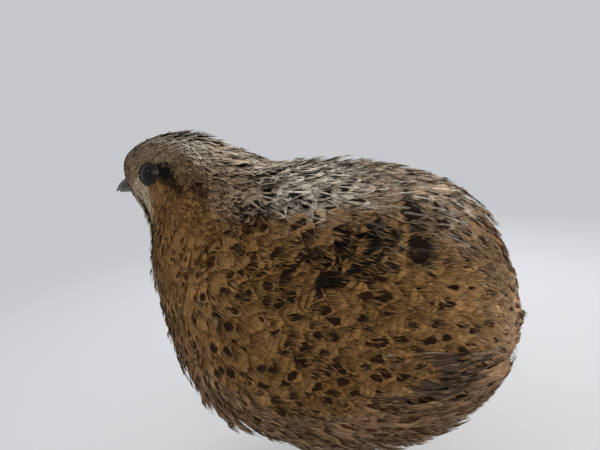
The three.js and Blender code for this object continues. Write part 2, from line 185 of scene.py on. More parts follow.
# Where the coat lies closer or stands out: place t and phi, reach in t and phi, millimetres.
SWELLS = (
    (0.32, 5, 0.14, 36, -3.2),
    (0.10, 35, 0.06, 60, -1.4),
    (0.575, 118, 0.055, 28, -3.2),
    (0.49, 126, 0.045, 20, -1.8),
    (0.23, 172, 0.12, 36, 5.0),
    (0.45, 150, 0.08, 25, 2.2),
)


def coat_lift(t, phi):
    lift = wing_lift(t, phi)
    turn = np.abs((phi + 180) % 360 - 180)
    for place, angle, reach, sweep, height in SWELLS:
        lift = lift + height * bell((t - place) / reach, (turn - angle) / sweep)
    return lift


winged = Loft(BODY, coat_lift)

# The feathered leg from the hock up into the body: how far ahead of the hock, how far out as a
# share of the hock's place, height above the hock, half width and half depth, and their lean.
SHIN = (
    (1.5, 1, 0.6, 2.6, 2.8),
    (7, 1, 4, 5.2, 5.8),
    (14, 0.95, 10.5, 9, 10),
    (23, 0.86, 19.5, 13, 14),
)
SHIN_LEAN = 0.62


def shin(side):
    rows = []
    for forward, spacing, above, width, depth in SHIN:
        f, u = HOCK[0] + side * STAGGER + forward, HOCK[1] + above
        lean = depth * SHIN_LEAN
        rows.append((f + lean, u - lean, f - lean, u + lean, width, 0.5, side * APART * spacing))
    return Loft(rows)


# Plumage. Colours are linear reflectances, many of them set darker than the feathers' own so that they carry
# painted shade of a bird lit from behind.

PALETTE = {
    "white": (0.78, 0.70, 0.58),
    "cream": (0.43, 0.325, 0.21),
    # rose: the rear's own pale buff with painted warm bounce light on it.
    "pearl": (0.47, 0.41, 0.32),
    "rose": (0.60, 0.37, 0.21),
    "sand": (0.35, 0.24, 0.15),
    "buff": (0.30, 0.168, 0.078),
    "fawn": (0.30, 0.178, 0.092),
    "straw": (0.37, 0.198, 0.075),
    "ochre": (0.235, 0.122, 0.042),
    "gold": (0.25, 0.131, 0.044),
    "chestnut": (0.12, 0.045, 0.018),
    "tan": (0.15, 0.086, 0.038),
    "dun": (0.25, 0.172, 0.108),
    "rufous": (0.065, 0.024, 0.009),
    "grey": (0.34, 0.295, 0.23),
    "slate": (0.078, 0.050, 0.036),
    "umber": (0.024, 0.011, 0.005),
    "black": (0.006, 0.005, 0.004),
}

# Areas of plumage: place t and phi, reach in t and phi, ground, mark and pale colours, then
# spot (strength, place, length, width), bars (strength, count), pale shaft and pale fringe.
AREAS = {
    "lores": (0.93, 90, 0.04, 25, "dun", "umber", "cream", (0.3, 0.7, 0.3, 0.5), (0, 1), 0.2, 0.2),
    # The forehead's and crown's grounds and pale fringes are set paler than their own: real pale streaks with
    # a painted sheen of light from above and behind.
    "forehead": (0.93, 25, 0.06, 32, "dun", "umber", "white", (0.6, 0.7, 0.2, 0.5), (0, 1), 0.5, 0.7),
    "crown": (0.8, 5, 0.07, 26, "grey", "umber", "white", (0.8, 0.45, 0.25, 0.8), (0, 1), 0.9, 1),
    "brow": (0.84, 50, 0.06, 13, "dun", "umber", "cream", (0.5, 0.7, 0.2, 0.5), (0, 1), 0.3, 0.3),
    "eye_line": (0.782, 68, 0.018, 6, "black", "black", "umber", (0.6, 0.7, 0.4, 0.9), (0, 1), 0, 0.1),
    "eye_stripe": (0.738, 68, 0.025, 3, "umber", "umber", "tan", (0.6, 0.7, 0.4, 0.9), (0, 1), 0, 0.2),
    "stripe_end": (0.69, 58, 0.03, 3.5, "umber", "black", "tan", (0.6, 0.7, 0.3, 0.9), (0, 1), 0.2, 0.3),
    "over_ear": (0.735, 52, 0.04, 8, "tan", "umber", "cream", (0.7, 0.75, 0.2, 0.6), (0, 1), 0.3, 0.3),
    "ear": (0.715, 84, 0.035, 11, "ochre", "umber", "buff", (0.4, 0.75, 0.3, 0.6), (0, 1), 0.3, 0.3),
    "cheek": (0.768, 94, 0.025, 9, "ochre", "umber", "buff", (0.3, 0.7, 0.2, 0.4), (0, 1), 0.2, 0.4),
    "malar": (0.85, 106, 0.05, 8, "cream", "tan", "white", (0.2, 0.7, 0.2, 0.4), (0, 1), 0.3, 0.4),
    "moustache": (0.81, 119, 0.05, 4, "umber", "black", "tan", (0.8, 0.7, 0.4, 0.9), (0, 1), 0, 0),
    "throat": (0.88, 155, 0.1, 26, "cream", "tan", "white", (0.1, 0.7, 0.2, 0.4), (0, 1), 0.3, 0.4),
    # The nape's and mantle's grounds and pale fringes are likewise set paler than their own: real pale
    # streaks with a painted sheen of light from above and behind.
    "nape": (0.67, 8, 0.06, 24, "cream", "umber", "white", (0.8, 0.66, 0.18, 0.5), (0, 1), 0.8, 0.9),
    "hind_neck": (0.64, 40, 0.04, 13, "dun", "umber", "cream", (1.1, 0.74, 0.18, 0.7), (0, 1), 0.6, 0.4),
    "collar": (0.585, 38, 0.03, 12, "dun", "black", "cream", (2.2, 0.75, 0.2, 0.9), (0.3, 5), 0.6, 0.2),
    "neck_patch": (0.555, 52, 0.022, 7, "chestnut", "black", "tan", (1, 0.8, 0.1, 0.5), (0, 5), 0, 0.2),
    "neck": (0.66, 85, 0.05, 26, "ochre", "rufous", "buff", (0.8, 0.82, 0.14, 0.4), (0, 5), 0, 0.15),
    "mantle": (0.52, 24, 0.08, 20, "pearl", "black", "white", (1.5, 0.72, 0.16, 0.7), (0.2, 5), 1, 0.7),
    "shoulder": (0.5, 58, 0.06, 14, "gold", "umber", "buff", (2, 0.82, 0.15, 0.5), (0.2, 5), 0.1, 0.1),
    "scapular": (0.425, 60, 0.05, 12, "ochre", "black", "buff", (3, 0.8, 0.18, 1.3), (0.85, 3.2), 0, 0),
    "saddle": (0.375, 47, 0.05, 9, "gold", "black", "cream", (3, 0.8, 0.17, 1.2), (0.7, 3.2), 0.1, 0.1),
    "back": (0.35, 12, 0.09, 26, "sand", "umber", "white", (1.4, 0.8, 0.14, 0.7), (0.2, 5), 0.6, 0.4),
    "rump": (0.18, 28, 0.08, 34, "buff", "umber", "cream", (1.7, 0.8, 0.16, 0.3), (0, 5), 0.2, 0.2),
    # The rear's rose ground is partly its own pale buff and partly painted warm bounce light.
    "rear": (0.13, 62, 0.075, 31, "rose", "rufous", "cream", (1, 0.8, 0.15, 0.25), (0, 5), 0.1, 0.4),
    "coverts": (0.32, 76, 0.08, 14, "gold", "umber", "buff", (1.9, 0.82, 0.14, 0.4), (0.4, 5), 0, 0.1),
    "wing_end": (0.235, 72, 0.07, 15, "straw", "umber", "cream", (1.8, 0.8, 0.18, 0.24), (0, 6), 0, 0.2),
    "front": (0.6, 112, 0.08, 24, "gold", "umber", "cream", (1.9, 0.83, 0.12, 0.32), (0, 5), 0, 0.05),
    "breast": (0.6, 160, 0.1, 22, "fawn", "umber", "cream", (1.7, 0.83, 0.11, 0.3), (0, 5), 0, 0.05),
    "low_breast": (0.47, 134, 0.07, 22, "fawn", "umber", "cream", (1.9, 0.83, 0.12, 0.36), (0, 5), 0, 0.05),
    "flank": (0.42, 102, 0.08, 11, "gold", "umber", "buff", (1.8, 0.82, 0.13, 0.5), (0.4, 5), 0, 0.1),
    "rear_flank": (0.17, 109, 0.08, 13, "fawn", "umber", "cream", (2.1, 0.8, 0.18, 0.34), (0.2, 5), 0.1, 0.1),
    "low_flank": (0.28, 124, 0.1, 12, "fawn", "rufous", "cream", (2.2, 0.82, 0.18, 0.32), (0.1, 5), 0, 0.1),
    "belly": (0.34, 176, 0.18, 28, "sand", "tan", "cream", (0.1, 0.8, 0.1, 0.5), (0, 5), 0.2, 0.2),
}
# How much feathers differ in tone and in their markings, and the share of them left nearly plain
# where the spots are weaker than bold.
TONE_SPREAD = 0.12
MARK_SPREAD = 0.16
PLAIN = 0.12
BOLD = 2.2


def all_looks(n, rng, **looks):
    """Looks of n feathers as arrays, with a seed for each. One colour or triple may stand for all."""
    looks = {key: np.tile(value, (n, 1)) if np.ndim(value) == 1 else value for key, value in looks.items()}
    return {"spot": np.tile((0.0, 0.5, 0.3), (n, 1)), **looks, "seed": np.repeat(rng.random((n, 1)), 3, -1)}


def plumage(t, phi, rng):
    """Every colour and marking of feathers rooted at t, phi, as arrays for the feather material."""
    weights = []
    for place, angle, reach, turn, *_ in AREAS.values():
        off = ((t - place) / reach) ** 2 + ((np.abs(phi) - angle) / turn) ** 2
        weights.append((np.exp(-1.2 * off) + 1e-9) ** 1.5)
    weights = np.array(weights) / np.sum(weights, 0)

    def blend(rows):
        return np.einsum("an,ac->nc", weights, np.array(rows, float))

    n = len(t)
    tone = np.exp(TONE_SPREAD * rng.standard_normal((n, 1)))
    numbers = blend([(*spot, *bars, shaft, fringe) for *_, spot, bars, shaft, fringe in AREAS.values()])
    numbers = numbers * (1 + MARK_SPREAD * rng.standard_normal((n, 8)))
    plain = (rng.random(n) < PLAIN) & (numbers[:, 0] < BOLD)
    numbers[plain, 0] *= 0.15
    numbers[plain, 4] *= 0.4
    ground, mark, pale = (blend([PALETTE[row[k]] for row in AREAS.values()]) for k in (4, 5, 6))
    bars = np.column_stack([numbers[:, 4:6], rng.random(n)])
    return all_looks(n, rng, ground=ground * tone, mark=mark, pale=pale * tone, spot=numbers[:, :3],
                     bars=bars, line=numbers[:, [6, 7, 3]])


# Meshes


def new_object(name, vertices, faces, material):
    """A smooth mesh object from millimetre vertices and faces of vertex numbers."""
    mesh = bpy.data.meshes.new(name)
    mesh.from_pydata(vertices * MM, [], faces, shade_flat=False)
    mesh.materials.append(material)
    made = bpy.data.objects.new(name, mesh)
    bpy.context.scene.collection.objects.link(made)
    return made


def add_uv(made, name, per_corner):
    layer = made.data.uv_layers.new(name=name)
    layer.data.foreach_set("uv", per_corner.astype(np.float32).ravel())


def add_values(made, name, per_point):
    attribute = made.data.attributes.new(name, "FLOAT_VECTOR", "POINT")
    attribute.data.foreach_set("vector", per_point.astype(np.float32).ravel())


def finish_piece(made, nodes=()):
    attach(made, "root")
    if nodes:
        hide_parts(*nodes)


def unwrap(t, phi):
    """A place on the skin's unwrap, within the unit square."""
    return np.stack([0.5 + phi / 360 * 0.94, 0.03 + np.clip(t, 0, 1) * 0.94], -1)


def grid_quads(index):
    """Quads between neighbours in a grid of vertex numbers."""
    return np.stack([index[:-1, :-1], index[:-1, 1:], index[1:, 1:], index[1:, :-1]], -1).reshape(-1, 4)


def ring_mesh(points):
    """Vertices, quads and end caps over rings of points, shaped (rings, sides, 3)."""
    index = np.arange(points.shape[0] * points.shape[1]).reshape(points.shape[:2])
    quads = grid_quads(np.hstack([index, index[:, :1]])).tolist()
    return points.reshape(-1, 3), quads + [index[0, ::-1].tolist(), index[-1].tolist()]


class Vane:
    """The grid of a single feather: rows from root to tip, columns from edge to edge, closed below."""

    def __init__(self, columns, rows, root, widest, tip, tooth):
        self.u = np.linspace(-1, 1, columns + 1)
        self.v = np.linspace(0, 1, rows + 1) ** 0.8
        rise = root + (1 - root) * smoothstep(self.v, -0.1, widest)
        fall = tip + (1 - tip) * (1 - smoothstep(self.v, widest, 1.05) ** 1.5)
        self.width = rise * fall
        self.tooth = tooth
        nu, nv = columns + 1, rows + 1
        top = np.arange(nu * nv).reshape(nv, nu)
        under = top.copy()
        under[1:-1, 1:-1] = nu * nv + np.arange((nu - 2) * (nv - 2)).reshape(nv - 2, nu - 2)
        self.inner = top[1:-1, 1:-1].ravel()
        self.faces = np.vstack([grid_quads(top), grid_quads(under)[:, [0, 3, 2, 1]]])
        v, u = np.meshgrid(self.v, self.u, indexing="ij")
        flat = np.stack([0.5 + 0.5 * u, v], -1).reshape(-1, 2)
        self.place = np.vstack([flat, flat[self.inner]])

    def closed(self, top, under):
        """Values at all vertices of feathers, from those of their upper and lower grids."""
        count = len(top)
        top, under = top.reshape(count, -1, 3), under.reshape(count, -1, 3)
        return np.concatenate([top, under[:, self.inner]], 1).reshape(-1, 3)


SMALL = Vane(4, 5, root=0.16, widest=0.5, tip=0.3, tooth=0.03)
MEDIUM = Vane(4, 6, root=0.16, widest=0.66, tip=0.5, tooth=0.02)
WISP = Vane(2, 2, root=0.6, widest=0.3, tip=0.15, tooth=0.0)
LARGE = Vane(8, 14, root=0.3, widest=0.5, tip=0.25, tooth=0.03)
FLIGHT = Vane(8, 26, root=0.35, widest=0.35, tip=0.12, tooth=0.0)

# How far a mark may sit to one side of its feather, as a share of the width.
ASTRAY = 0.6
# How a feather rises from its root to its tip: below 1, steeply at first.
EASE = 0.4
# The share of the coat's own smooth normal in the shading of its feathers.
SOFTNESS = 0.62
# Loose barbs: least and most reach as shares of the feather's length, degrees that they fan out
# and stray, how much their tones differ, and the share of them that are pale.
BARBS = {"reach": (0.22, 0.42), "fan": 7, "stray": 5, "tones": 0.25, "pale": 0.26}


def march(surface, t, phi, length, turn, vane):
    """Each feather's line over a surface from its root, turned by degrees from the way to the tail."""
    angle = np.radians(turn)
    cos, sin = np.cos(angle), np.sin(angle)
    frames = []
    for step in np.diff(vane.v, append=1.0):
        point, along, across, normal, (pace, swing) = surface.frame(t, phi)
        ahead = along * cos[:, None] + across * sin[:, None]
        aside = across * cos[:, None] - along * sin[:, None]
        frames.append((point, ahead, aside, normal))
        t = t - length * step * cos / np.maximum(pace, 30)
        phi = phi + length * step * sin / np.maximum(swing, 0.05)
    return [np.stack(part, 1) for part in zip(*frames)]


def soften(made, lie):
    """Turns a mesh's shading normals part of the way to the coat's, so that it reads as one surface."""
    own = np.zeros(len(lie) * 3, np.float32)
    made.data.vertex_normals.foreach_get("vector", own)
    mixed = unit(own.reshape(-1, 3) * (1 - SOFTNESS) + lie * SOFTNESS)
    made.data.normals_split_custom_set_from_vertices(mixed)


def feathers(name, vane, frames, half, shape, looks, bake, rng, fit=None, soft=False):
    """One closed mesh of many feathers. shape holds root and tip lift, curl, roll, cup and thickness."""
    point, ahead, aside, normal = frames
    count = len(half)
    v = vane.v[None, :, None]
    u = vane.u[None, None, :]
    half = half[:, None, None]
    form = {"ease": EASE, **shape}
    form = {key: np.broadcast_to(value, count)[:, None, None] for key, value in form.items()}
    rag = 1 + vane.tooth * rng.standard_normal((count, len(vane.v), len(vane.u))) * (np.abs(u) > 0.9)
    spread = half * vane.width[None, :, None] * u * rag
    height = form["root"] + (form["tip"] - form["root"]) * v ** form["ease"] + form["curl"] * v**3
    height = height - form["cup"] * half * u**2 + spread * np.sin(form["roll"])
    length = length_of(point[:, -1] - point[:, 0])[:, None, None]
    teeth = vane.tooth * rng.standard_normal((count, 1, len(vane.u))) - 0.17 * u**2
    push = length * teeth * v**4
    grid = point[:, :, None] + aside[:, :, None] * spread[..., None]
    grid = grid + normal[:, :, None] * height[..., None] + ahead[:, :, None] * push[..., None]
    thick = form["thick"] * (1 - u**2) * (1.1 - v) + 0.02
    vertices = vane.closed(grid, grid - normal[:, :, None] * thick[..., None])
    if fit is not None:
        vertices = fit(vertices)

    size = len(vane.place)
    faces = (vane.faces[None] + np.arange(count)[:, None, None] * size).reshape(-1, 4)
    made = new_object(name, vertices, faces, FEATHER)
    place = np.tile(vane.place, (count, 1))
    corners = faces.ravel()
    add_uv(made, "vane", place[corners])
    add_uv(made, "OFBake", (np.repeat(bake, size, 0) + (place - 0.5) * 0.003)[corners])
    if soft:
        lie = np.repeat(normal, len(vane.u), 1)
        soften(made, vane.closed(lie, -lie))
    for key, value in looks.items():
        if value.ndim == 3:
            value = np.repeat(value, len(vane.u), 1)
            add_values(made, key, vane.closed(value, value))
        else:
            add_values(made, key, np.repeat(value, size, 0))
    return made


def marking(looks, u, v):
    """How dark the markings of feathers are at places u, v on them, as their material paints them."""
    spot, bars, line = (looks[key][:, None] for key in ("spot", "bars", "line"))
    aside = u - ASTRAY * (bars[..., 2] - 0.5)
    ring = np.hypot(aside / line[..., 2], (v - spot[..., 1]) / spot[..., 2])
    wave = np.sin(2 * np.pi * (v * bars[..., 1] + bars[..., 2] - 0.28 * u**2))
    spotted = (1 - smoothstep(ring, 0.75, 1.25)) * spot[..., 0]
    return np.clip(np.maximum(spotted, smoothstep(wave, 0.15, 0.6) * bars[..., 0]), 0, 1)


def wisps(crowd, vane, frames, half, shape, looks, bake, rng):
    """Loose barbs over the ends of feathers, crowd to each, coloured as the feather is under them."""
    pick = np.repeat(np.arange(len(half)), crowd)
    m = len(pick)
    half = half[pick]
    shape = {key: value[pick] for key, value in shape.items()}
    looks = {key: value[pick] for key, value in looks.items()}
    u = rng.uniform(-1, 1, m)
    v = np.where(rng.random(m) < 0.3, rng.uniform(0.80, 0.96, m), rng.uniform(0.46, 0.86, m))
    low = np.searchsorted(vane.v, v) - 1
    w = ((v - vane.v[low]) / (vane.v[low + 1] - vane.v[low]))[:, None]
    start, front, side, out = (a[pick, low] * (1 - w) + a[pick, low + 1] * w for a in frames)
    length = length_of(frames[0][:, -1] - frames[0][:, 0])[pick]
    lift = shape["root"] + (shape["tip"] - shape["root"]) * v**EASE + shape["curl"] * v**3
    lift = lift + half * (u * np.sin(shape["roll"]) - shape["cup"] * u**2)
    narrow = half * np.interp(v, vane.v, vane.width)
    start = start + side * (u * narrow)[:, None] + out * lift[:, None]
    angle = np.radians(BARBS["fan"] * u + BARBS["stray"] * rng.standard_normal(m))[:, None]
    cos, sin = np.cos(angle), np.sin(angle)
    front, side = front * cos + side * sin, side * cos - front * sin
    reach = length * rng.uniform(*BARBS["reach"], m)
    line = start[:, None] + front[:, None] * (reach[:, None] * WISP.v)[..., None]
    ways = [np.repeat(way[:, None], len(WISP.v), 1) for way in (front, side, unit(out))]

    at_v = v[:, None] + (reach / length)[:, None] * WISP.v
    dark = marking(looks, u[:, None], at_v)[..., None]
    pale = smoothstep(at_v, 0.90, 1.05)[..., None] * looks["line"][:, None, 1:2] * rng.random((m, 1, 1))
    pale = np.maximum(pale, 0.55 * (rng.random((m, 1, 1)) < BARBS["pale"]))
    colour = looks["ground"][:, None] * (1 - dark) + looks["mark"][:, None] * dark
    colour = colour * (1 - pale) + looks["pale"][:, None] * pale
    colour = colour * np.exp(BARBS["tones"] * rng.standard_normal((m, 1, 1)))
    own = all_looks(m, rng, ground=colour, mark=looks["mark"], pale=looks["pale"], bars=np.zeros(3),
                    line=(0.0, 0.0, 0.5))
    large = length / 14
    form = dict(root=-0.08, tip=(0.15 + 0.5 * rng.random(m) ** 3) * large,
                curl=0.4 * rng.random(m) ** 4 * large, roll=0.5 * rng.standard_normal(m), cup=0.1, thick=0.05)
    thin = rng.uniform(0.08, 0.19, m) * np.sqrt(large)
    return [line, *ways], thin, form, own, bake[pick]


def joined(a, b):
    """Two feather meshes as one object under the first one's name."""
    bpy.ops.object.select_all(action="DESELECT")
    a.select_set(True)
    b.select_set(True)
    bpy.context.view_layer.objects.active = a
    bpy.ops.object.join()
    return a


def lay_rows(surface, first, last, along, across, rng):
    """Roots in staggered rows over a surface. along and across give the spacing wanted at t, phi."""
    t = np.linspace(first, last, 500)
    phi = np.linspace(-180, 180, 241)
    tt, pp = np.meshgrid(t, phi, indexing="ij")
    step = length_of(np.diff(surface.point(tt, pp), axis=0)) / along((tt[1:] + tt[:-1]) / 2, pp[1:])
    depth = np.vstack([np.zeros(len(phi)), np.cumsum(step, 0)])
    roots = []
    for k in range(int(depth[-1].max())):
        row_t = np.array([np.interp(k + 0.5, depth[:, j], t) for j in range(len(phi))])
        reached = depth[-1] > k + 0.5
        gap = length_of(np.diff(surface.point(row_t, phi), axis=0)) / across(row_t[1:], phi[1:])
        reach = np.concatenate([[0], np.cumsum(gap)])
        n = max(int(round(reach[-1])), 1)
        want = (np.arange(n) + 0.25 + 0.5 * (k % 2) + 0.16 * rng.standard_normal(n)) % n / n * reach[-1]
        at_phi = np.interp(want, reach, phi)
        at_t = np.interp(at_phi, phi, row_t)
        good = np.interp(at_phi, phi, reached.astype(float)) > 0.5
        pace = along(at_t, at_phi) / np.maximum(surface.frame(at_t, at_phi)[4][0], 30)
        at_t = at_t + pace * 0.15 * rng.standard_normal(n)
        roots.append(np.stack([at_t, at_phi], -1)[good])
    return np.vstack(roots)


# Materials


class Value:
    """A value in a material. Sums and products of values add the nodes that work them out."""

    def __init__(self, graph, socket):
        self.graph = graph
        self.socket = socket

    def __add__(self, other):
        return self.graph.math("ADD", self, other)

    def __sub__(self, other):
        return self.graph.math("SUBTRACT", self, other)

    def __mul__(self, other):
        return self.graph.math("MULTIPLY", self, other)

    def __truediv__(self, other):
        return self.graph.math("DIVIDE", self, other)


class Graph:
    """Short hands for building one material's nodes."""

    def __init__(self, name, roughness, specular):
        self.material = bpy.data.materials.new(name)
        self.material.use_nodes = True
        self.nodes = self.material.node_tree.nodes
        self.links = self.material.node_tree.links
        self.shader = self.nodes["Principled BSDF"].inputs
        self.shader["Roughness"].default_value = roughness
        self.shader["Specular IOR Level"].default_value = specular

    def feed(self, socket, value):
        if isinstance(value, Value):
            self.links.new(value.socket, socket)
        else:
            socket.default_value = value

    def node(self, kind, output, settings, inputs):
        """Adds a node with its settings and its inputs, by name or number, and gives one output."""
        made = self.nodes.new(kind)
        for key, value in settings.items():
            setattr(made, key, value)
        for key, value in inputs.items():
            self.feed(made.inputs[key], value)
        return Value(self, made.outputs[output])

    def math(self, operation, *values):
        return self.node("ShaderNodeMath", 0, {"operation": operation}, dict(enumerate(values)))

    def step(self, value, start, end):
        """A smooth change from 0 at start to 1 at end, which may be the lower one."""
        low, high = min(start, end), max(start, end)
        inputs = {"Value": value, "From Min": low, "From Max": high, "To Min": 0, "To Max": 1}
        if start > end:
            inputs.update({"To Min": 1, "To Max": 0})
        return self.node("ShaderNodeMapRange", 0, {"interpolation_type": "SMOOTHSTEP"}, inputs)

    def mix(self, share, a, b):
        a, b = ((*colour, 1) if isinstance(colour, tuple) else colour for colour in (a, b))
        return self.node("ShaderNodeMix", 2, {"data_type": "RGBA"}, {"Factor": share, 6: a, 7: b})

    def place(self):
        """The place on the object itself."""
        return self.node("ShaderNodeTexCoord", 3, {}, {})

    def values(self, name):
        return self.node("ShaderNodeAttribute", 1, {"attribute_name": name}, {})

    def split(self, vector):
        made = self.nodes.new("ShaderNodeSeparateXYZ")
        self.feed(made.inputs[0], vector)
        return [Value(self, socket) for socket in made.outputs]

    def join(self, x, y, z):
        return self.node("ShaderNodeCombineXYZ", 0, {}, {0: x, 1: y, 2: z})

    def noise(self, vector, scale, detail=2.0, rough=0.5):
        inputs = {"Vector": vector, "Scale": scale, "Detail": detail, "Roughness": rough}
        return self.node("ShaderNodeTexNoise", 0, {}, inputs)

    def scaled(self, vector, factor):
        inputs = {"Vector": vector, "Scale": factor}
        return self.node("ShaderNodeVectorMath", 0, {"operation": "SCALE"}, inputs)

    def finish(self, colour, height=None, strength=0.0, distance=0.0):
        """Gives the shader its colour and its relief, a height with strength and depth in metres."""
        self.feed(self.shader["Base Color"], colour)
        if height is not None:
            inputs = {"Height": height, "Strength": strength, "Distance": distance}
            self.feed(self.shader["Normal"], self.node("ShaderNodeBump", 0, {}, inputs))
        return self.material


def feather_material():
    g = Graph("feather", 0.72, 0.06)
    across, v, _ = g.split(g.node("ShaderNodeUVMap", 0, {"uv_map": "vane"}, {}))
    side = across * 2.0 - 1.0
    u = g.math("ABSOLUTE", side)
    seed = g.split(g.values("seed"))[0] * 40.0
    spot = g.split(g.values("spot"))
    bars = g.split(g.values("bars"))
    line = g.split(g.values("line"))

    wander = g.noise(g.join(side * 1.2, v * 4.0, seed), 1.0) - 0.5
    barb = v - u * 0.6
    comb = g.noise(g.join(barb * 15.0, side * 1.2, seed), 1.0, 4.0, 0.7)

    far = (side - bars[2] * ASTRAY + ASTRAY / 2) / line[2]
    near = (v - spot[1]) / spot[2]
    ring = g.math("SQRT", far * far + near * near) + wander * 1.8 + (comb - 0.5) * 1.6
    spot_mask = g.math("MINIMUM", g.step(ring, 1.5, 0.6) * spot[0], 1.0)

    wave = v * bars[1] + bars[2] - u * u * 0.28 + wander * 0.5
    bar_mask = g.step(g.math("SINE", wave * (2 * math.pi)), 0.15, 0.6) * bars[0]

    shaft = g.step(u, 0.16, 0.05) * line[0]
    end = g.step(v + wander * 0.2, 0.84, 0.97)
    edge = g.math("MAXIMUM", end, g.step(u, 0.72, 0.98) * 0.6) * line[1]

    colour = g.mix(spot_mask, g.values("ground"), g.values("mark"))
    colour = g.mix(bar_mask, colour, g.values("mark"))
    colour = g.mix(edge, colour, g.values("pale"))
    colour = g.mix(shaft, colour, g.values("pale"))
    # Colour is darker along the barbs' low streaks and lighter along their high ones: partly the barbs' own
    # tone, partly painted shade and painted highlight of their relief.
    colour = g.scaled(colour, g.step(comb, 0.35, 0.65) * 0.9 + 0.5)
    return g.finish(colour, comb + g.step(u, 0.14, 0.0) * 0.5, 0.35, 0.0003)


def skin_material():
    g = Graph("skin", 0.8, 0.2)
    mottle = g.noise(g.place(), 260.0, 3.0)
    colour = g.mix(g.step(mottle, 0.52, 0.62), g.values("ground"), g.values("mark"))
    return g.finish(g.scaled(colour, 0.55), g.noise(g.place(), 900.0, 3.0), 0.5, 0.0004)


def horn_material(name, deep, pale, roughness):
    g = Graph(name, roughness, 0.5)
    cloud = g.noise(g.place(), 180.0, 4.0)
    streak = {"Vector": g.place(), "Scale": (900.0, 160.0, 900.0)}
    grain = g.noise(g.node("ShaderNodeMapping", 0, {}, streak), 1.0, 3.0)
    share = g.step(grain * 0.4 + cloud * 0.6, 0.4, 0.62)
    return g.finish(g.mix(share, deep, pale), grain, 0.25, 0.0002)


def leg_material():
    g = Graph("leg", 0.5, 0.45)
    g.shader["Subsurface Weight"].default_value = 0.1
    g.shader["Subsurface Scale"].default_value = 0.001
    scales = {"Vector": g.place(), "Scale": 1100.0}
    cells = g.node("ShaderNodeTexVoronoi", 0, {"feature": "DISTANCE_TO_EDGE"}, scales)
    tone = g.noise(g.place(), 300.0, 3.0)
    colour = g.mix(g.step(tone, 0.35, 0.65), (0.56, 0.34, 0.22), (0.66, 0.46, 0.32))
    colour = g.mix(g.step(cells, 0.09, 0.0), colour, (0.36, 0.20, 0.12))
    return g.finish(colour, g.step(cells, 0.0, 0.2), 0.5, 0.0002)


def eye_material():
    g = Graph("eye", 0.06, 0.22)
    facing, ray, _ = g.split(g.values("gaze"))
    fibre = g.noise(g.join(ray * 14.0, facing * 3.0, 0.0), 1.0)
    colour = g.mix(fibre, (0.006, 0.003, 0.002), (0.026, 0.012, 0.006))
    colour = g.mix(g.step(facing, 0.84, 0.87), colour, (0.002, 0.002, 0.002))
    return g.finish(g.mix(g.step(facing, 0.70, 0.66), colour, (0.01, 0.007, 0.006)))


def lid_material():
    g = Graph("lid", 0.7, 0.15)
    tone = g.noise(g.place(), 1400.0, 3.0)
    return g.finish(g.mix(tone, (0.008, 0.007, 0.006), (0.03, 0.024, 0.02)), tone, 0.7, 0.0003)


FEATHER = feather_material()
SKIN = skin_material()
UPPER_HORN = horn_material("upper_horn", (0.035, 0.033, 0.027), (0.13, 0.125, 0.095), 0.34)
LOWER_HORN = horn_material("lower_horn", (0.09, 0.082, 0.062), (0.22, 0.20, 0.15), 0.38)
CLAW_HORN = horn_material("claw_horn", (0.16, 0.11, 0.075), (0.38, 0.29, 0.21), 0.35)
LEG = leg_material()
EYE_SURFACE = eye_material()
LID = lid_material()

# Skin

# How deep the skin lies under the coat: places t, and millimetres.
SKIN_DEPTH = ([0, 0.1, 0.55, 0.68, 0.76, 0.9, 1], [2.5, 4.5, 4.5, 3.2, 1.7, 0.9, 0.25])


def coat_depth(t):
    return np.interp(t, *SKIN_DEPTH)


def skin_part(loft, depth, rings, sides):
    t = np.linspace(0, 1, rings)[:, None]
    point, _, _, normal, _ = loft.frame(t, np.linspace(-180, 180, sides, endpoint=False))
    return ring_mesh(point - normal * depth(t)[..., None])


def fused(name, parts, material, voxel):
    """Overlapping closed parts remeshed into one skin, so that no seam shows."""
    vertices, faces = [], []
    for points, quads in parts:
        faces += [[i + len(vertices) for i in quad] for quad in quads]
        vertices += list(points)
    made = new_object(name, np.array(vertices), faces, material)
    remesh = made.modifiers.new("one", "REMESH")
    remesh.mode = "VOXEL"
    remesh.voxel_size = voxel * MM
    remesh.use_smooth_shade = True
    bpy.context.view_layer.update()
    solid = bpy.data.meshes.new_from_object(made.evaluated_get(bpy.context.evaluated_depsgraph_get()))
    made.modifiers.clear()
    made.data = solid
    solid.materials.clear()
    solid.materials.append(material)
    return made


def body_places(vertices):
    """The t and phi of the places on the body nearest to vertices."""
    t, phi = np.meshgrid(np.linspace(0, 1, 160), np.arange(-180, 180, 3.0), indexing="ij")
    places = body.point(t, phi).reshape(-1, 3)
    tree = kdtree.KDTree(len(places))
    for i, place in enumerate(places):
        tree.insert(place, i)
    tree.balance()
    nearest = np.array([tree.find(vertex.co / MM)[1] for vertex in vertices])
    return t.ravel()[nearest], phi.ravel()[nearest]


def unbroken(mesh, phi):
    """Each face corner's vertex and phi, past 180 where a face would else run round the body."""
    corner = np.zeros(len(mesh.loops), np.int32)
    mesh.loops.foreach_get("vertex_index", corner)
    starts = np.zeros(len(mesh.polygons), np.int32)
    mesh.polygons.foreach_get("loop_start", starts)
    turn = phi[corner]
    face_of = np.repeat(np.arange(len(starts)), np.diff(np.append(starts, len(corner))))
    low = np.minimum.reduceat(turn, starts)[face_of]
    high = np.maximum.reduceat(turn, starts)[face_of]
    return corner, np.where((high - low > 180) & (turn < 0), turn + 360, turn)


